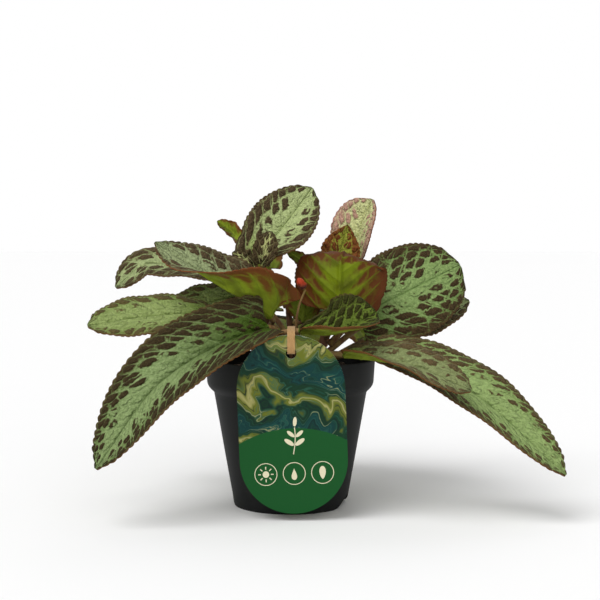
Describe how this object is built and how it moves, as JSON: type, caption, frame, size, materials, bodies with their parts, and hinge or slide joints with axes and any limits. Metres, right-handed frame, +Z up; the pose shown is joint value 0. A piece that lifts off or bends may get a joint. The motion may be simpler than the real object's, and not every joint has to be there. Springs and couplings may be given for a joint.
{
  "type": "potted flame violet",
  "caption": "Trailing house plant with velvety toothed leaves and one closed bud, standing in a round tapered nursery pot with a hanging card label.",
  "frame": {"origin": "middle of the pot's standing plane, on the flat pad under the pot's floor", "axes": "+Z up along the pot's axis, -Y towards the front where the label hangs, +X to the right seen from the front, the plant's widest way"},
  "size_m": [0.3214, 0.2342, 0.2267],
  "materials": {
    "pot_plastic": "charcoal moulded plastic, satin",
    "peat": "damp dark potting soil",
    "stem_skin": "reddish brown, finely hairy",
    "leaf_skin": "velvety, pale green along the veins with brown patches",
    "petal": "red-orange, finely hairy",
    "card": "printed card, satin coated",
    "raffia": "flat tan band"
  },
  "bodies": {
    "root": {"pot": "pot_plastic", "soil": "peat", "label": "card", "label_band": "raffia", "flower_stalk": "stem_skin", "flower_bud": "petal", "stem_left": "stem_skin", "stem_right": "stem_skin", "stem_front": "stem_skin", "stem_back": "stem_skin", "leaf_front_left": "leaf_skin", "leaf_left_low": "leaf_skin", "leaf_left_behind": "leaf_skin", "leaf_left_arched": "leaf_skin", "leaf_left_folded": "leaf_skin", "leaf_top_large": "leaf_skin", "leaf_top_small": "leaf_skin", "leaf_top_small_left": "leaf_skin", "leaf_top_back": "leaf_skin", "leaf_pink_upright": "leaf_skin", "leaf_red_upright": "leaf_skin", "leaf_centre_arched": "leaf_skin", "leaf_centre_small": "leaf_skin", "leaf_front_small": "leaf_skin", "leaf_right_large": "leaf_skin", "leaf_right_behind": "leaf_skin", "leaf_front_right": "leaf_skin", "leaf_front_right_upper": "leaf_skin", "leaf_back_centre": "leaf_skin", "leaf_back_left": "leaf_skin", "leaf_back_right": "leaf_skin", "leaf_back_low_left": "leaf_skin", "leaf_back_low_right": "leaf_skin", "leaf_back_upper_left": "leaf_skin", "leaf_back_upper_right": "leaf_skin", "leaf_centre_back": "leaf_skin"}
  },
  "joints": []
}
